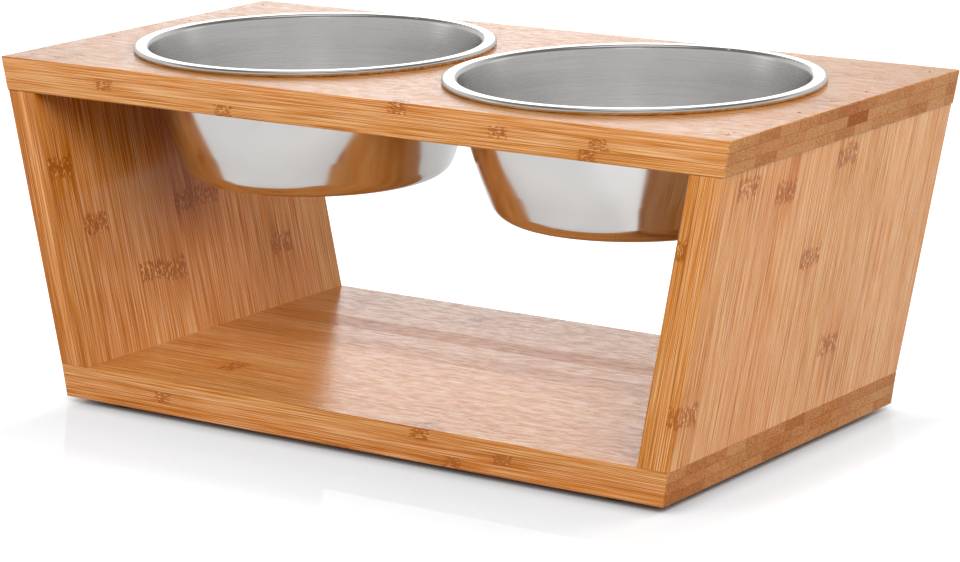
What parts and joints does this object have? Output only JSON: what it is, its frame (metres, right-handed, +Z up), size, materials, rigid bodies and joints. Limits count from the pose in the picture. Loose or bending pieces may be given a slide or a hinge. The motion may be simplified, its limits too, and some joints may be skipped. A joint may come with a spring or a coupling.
{
  "type": "elevated dog feeder with storage",
  "caption": "Raised pet feeding stand: bamboo boards form an open box with outward-leaning ends and a storage shelf, and steel bowls lift out of round cut-outs.",
  "frame": {"origin": "on the floor, under the middle of the feeder", "axes": "+X along the length to the right as seen from the front, +Y to the back, +Z up"},
  "size_m": [0.4568, 0.225, 0.1891],
  "materials": {
    "bamboo": "satin lacquered bamboo",
    "bowl_steel": "polished outside, satin inside",
    "brad_steel": "bright drawn wire",
    "foot_rubber": "matt"
  },
  "bodies": {
    "stand": {"top_board": "bamboo", "shelf_board": "bamboo", "left_side_board": "bamboo", "right_side_board": "bamboo", "top_left_brads": "brad_steel", "top_right_brads": "brad_steel", "shelf_left_brads": "brad_steel", "shelf_right_brads": "brad_steel", "front_left_foot": "foot_rubber", "front_right_foot": "foot_rubber", "rear_left_foot": "foot_rubber", "rear_right_foot": "foot_rubber"},
    "left_bowl": {"left_bowl": "bowl_steel"},
    "right_bowl": {"right_bowl": "bowl_steel"}
  },
  "joints": [
    {"name": "left_bowl_lift", "type": "slide", "parent": "stand", "child": "left_bowl", "axis": [0, 0, 1], "range_m": [0, 0.08]},
    {"name": "right_bowl_lift", "type": "slide", "parent": "stand", "child": "right_bowl", "axis": [0, 0, 1], "range_m": [0, 0.08]}
  ]
}
